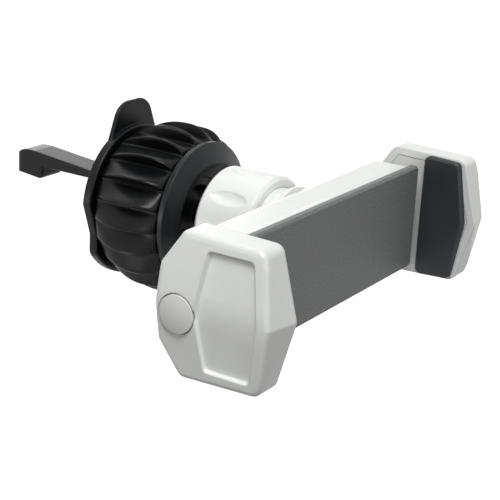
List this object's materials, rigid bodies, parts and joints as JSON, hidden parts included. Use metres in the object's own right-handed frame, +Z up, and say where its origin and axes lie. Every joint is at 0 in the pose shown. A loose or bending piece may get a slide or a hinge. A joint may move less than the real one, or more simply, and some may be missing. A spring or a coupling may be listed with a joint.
{
  "type": "air vent phone holder",
  "caption": "Air vent phone holder: spring-opened arms grip a phone against a padded bar, on a ball joint with a white collar, a ribbed knob and a vent hook.",
  "frame": {"origin": "centre of the back pad's front face, where the phone rests", "axes": "+X towards the right arm seen by the user, +Y away from the user to the vent along the spindle, +Z up"},
  "size_m": [0.0834, 0.0881, 0.0368],
  "materials": {
    "white_shell": "satin white",
    "grey_button": "satin pale grey",
    "black_rubber": "soft matt black",
    "grey_pad": "fine grained mid grey",
    "natural_acetal": "natural, smooth",
    "dark_knob": "satin charcoal",
    "ring_grey": "satin dark grey",
    "black_plastic": "satin black",
    "steel": "brushed",
    "spring_steel": "drawn wire",
    "washer_nylon": "natural"
  },
  "bodies": {
    "clip": {"ball_spindle": "black_plastic", "hook_strip": "steel", "hook_sleeve": "black_rubber"},
    "clamp_plate": {"clamp_plate": "black_plastic", "thrust_washer": "washer_nylon"},
    "knob": {"knob_barrel": "dark_knob", "knob_front_ring": "ring_grey"},
    "ball_cup": {"ball_cup": "natural_acetal"},
    "ball_ring": {"ball_ring": "natural_acetal"},
    "cradle": {"rear_housing": "white_shell", "front_cover": "white_shell", "back_pad": "grey_pad", "pinion_axle": "steel", "opening_spring": "spring_steel", "case_screws": "steel"},
    "collar": {"collar_nut": "white_shell"},
    "pinion": {"pinion": "natural_acetal"},
    "left_arm": {"left_arm_shell": "white_shell", "left_rack": "natural_acetal", "left_grip_pad": "black_rubber", "left_arm_screws": "steel", "left_button_spring": "spring_steel"},
    "left_button": {"left_button": "grey_button"},
    "left_latch": {"left_latch": "natural_acetal"},
    "right_arm": {"right_arm_shell": "white_shell", "right_rack": "natural_acetal", "right_grip_pad": "black_rubber", "right_arm_screws": "steel", "right_button_spring": "spring_steel"},
    "right_button": {"right_button": "grey_button"},
    "right_latch": {"right_latch": "natural_acetal"}
  },
  "joints": [
    {"name": "plate_slide", "type": "slide", "parent": "clip", "child": "clamp_plate", "axis": [0, 1, 0], "range_m": [0, 0.00501]},
    {"name": "knob_turn", "type": "hinge", "parent": "clamp_plate", "child": "knob", "pos_m": [0, 0.038, 0.0015], "axis": [0, 1, 0], "range_deg": [0, 720]},
    {"name": "ball_tilt", "type": "hinge", "parent": "clip", "child": "ball_cup", "pos_m": [0, 0.0188, 0.0015], "axis": [1, 0, 0], "range_deg": [-20, 20]},
    {"name": "ball_pan", "type": "hinge", "parent": "ball_cup", "child": "ball_ring", "pos_m": [0, 0.0188, 0.0015], "axis": [0, 0, 1], "range_deg": [-20, 20]},
    {"name": "cradle_spin", "type": "hinge", "parent": "ball_ring", "child": "cradle", "pos_m": [0, 0.0188, 0.0015], "axis": [0, 1, 0], "continuous": true},
    {"name": "collar_turn", "type": "hinge", "parent": "cradle", "child": "collar", "pos_m": [0, 0.0188, 0.0015], "axis": [0, 1, 0], "range_deg": [0, 180]},
    {"name": "left_slide", "type": "slide", "parent": "cradle", "child": "left_arm", "axis": [-1, 0, 0], "range_m": [0, 0.013], "deforming": ["opening_spring"]},
    {"name": "right_slide", "type": "slide", "parent": "cradle", "child": "right_arm", "axis": [1, 0, 0], "range_m": [0, 0.01301]},
    {"name": "pinion_spin", "type": "hinge", "parent": "cradle", "child": "pinion", "pos_m": [0, 0.0055, 0], "axis": [0, -1, 0], "range_deg": [0, 156]},
    {"name": "left_button_press", "type": "slide", "parent": "left_arm", "child": "left_button", "axis": [1, 0, 0], "range_m": [0, 0.001], "stiffness_N_per_m": 300, "springref_m": -0.001, "deforming": ["left_button_spring"]},
    {"name": "right_button_press", "type": "slide", "parent": "right_arm", "child": "right_button", "axis": [-1, 0, 0], "range_m": [0, 0.001], "stiffness_N_per_m": 300, "springref_m": -0.001, "deforming": ["right_button_spring"]},
    {"name": "left_latch_trip", "type": "hinge", "parent": "left_arm", "child": "left_latch", "pos_m": [-0.0135, 0.0063, 0.0016], "axis": [0, -1, 0], "range_deg": [0, 19.01]},
    {"name": "right_latch_trip", "type": "hinge", "parent": "right_arm", "child": "right_latch", "pos_m": [0.0135, 0.0063, -0.0016], "axis": [0, -1, 0], "range_deg": [0, 19.01]}
  ],
  "couplings": [
    {"joint": "plate_slide", "follows": "knob_turn", "m_per_rad": 0.00039789},
    {"joint": "right_slide", "follows": "left_slide", "ratio": 1},
    {"joint": "pinion_spin", "follows": "left_slide", "rad_per_m": 208.33},
    {"joint": "left_latch_trip", "follows": "left_button_press", "rad_per_m": 331.61},
    {"joint": "right_latch_trip", "follows": "right_button_press", "rad_per_m": 331.61}
  ]
}
